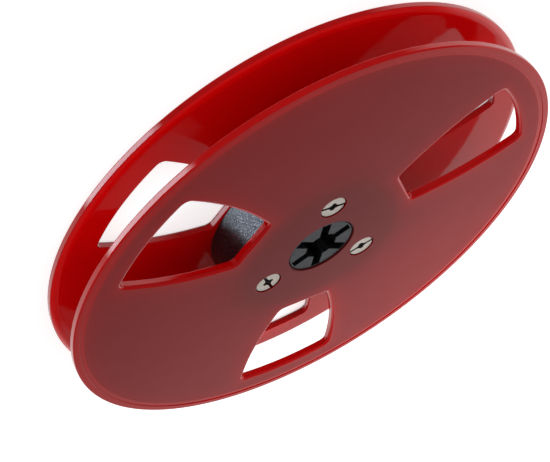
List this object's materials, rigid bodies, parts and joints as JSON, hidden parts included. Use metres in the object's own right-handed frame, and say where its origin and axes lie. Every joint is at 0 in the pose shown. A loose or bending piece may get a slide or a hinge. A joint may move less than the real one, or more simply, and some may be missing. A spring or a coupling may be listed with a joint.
{
  "type": "audio tape reel",
  "caption": "Empty reel for recording tape: windowed red flanges screwed to a black hub with a slotted spindle bore.",
  "frame": {"origin": "On the reel's axis, in the plane that the reel rests on when it lies flat, which is the rear rim band's face.", "axes": "+Z along the spindle axis towards the front flange. +Y through the screw that is uppermost in the picture and through a key slot. One window points along -Y."},
  "size_m": [0.127, 0.127, 0.0136],
  "materials": {
    "flange_moulding": "deep red moulding, glossy on the inner face, the rim band and the window edges, fine satin on the outer face",
    "hub_metal": "fine blasted and black, with a small bright sparkle",
    "screw_metal": "dull nickel plate"
  },
  "bodies": {
    "root": {"front_flange": "flange_moulding", "rear_flange": "flange_moulding", "hub": "hub_metal", "front_screw_1": "screw_metal", "front_screw_2": "screw_metal", "front_screw_3": "screw_metal", "rear_screw_1": "screw_metal", "rear_screw_2": "screw_metal", "rear_screw_3": "screw_metal"}
  },
  "joints": []
}
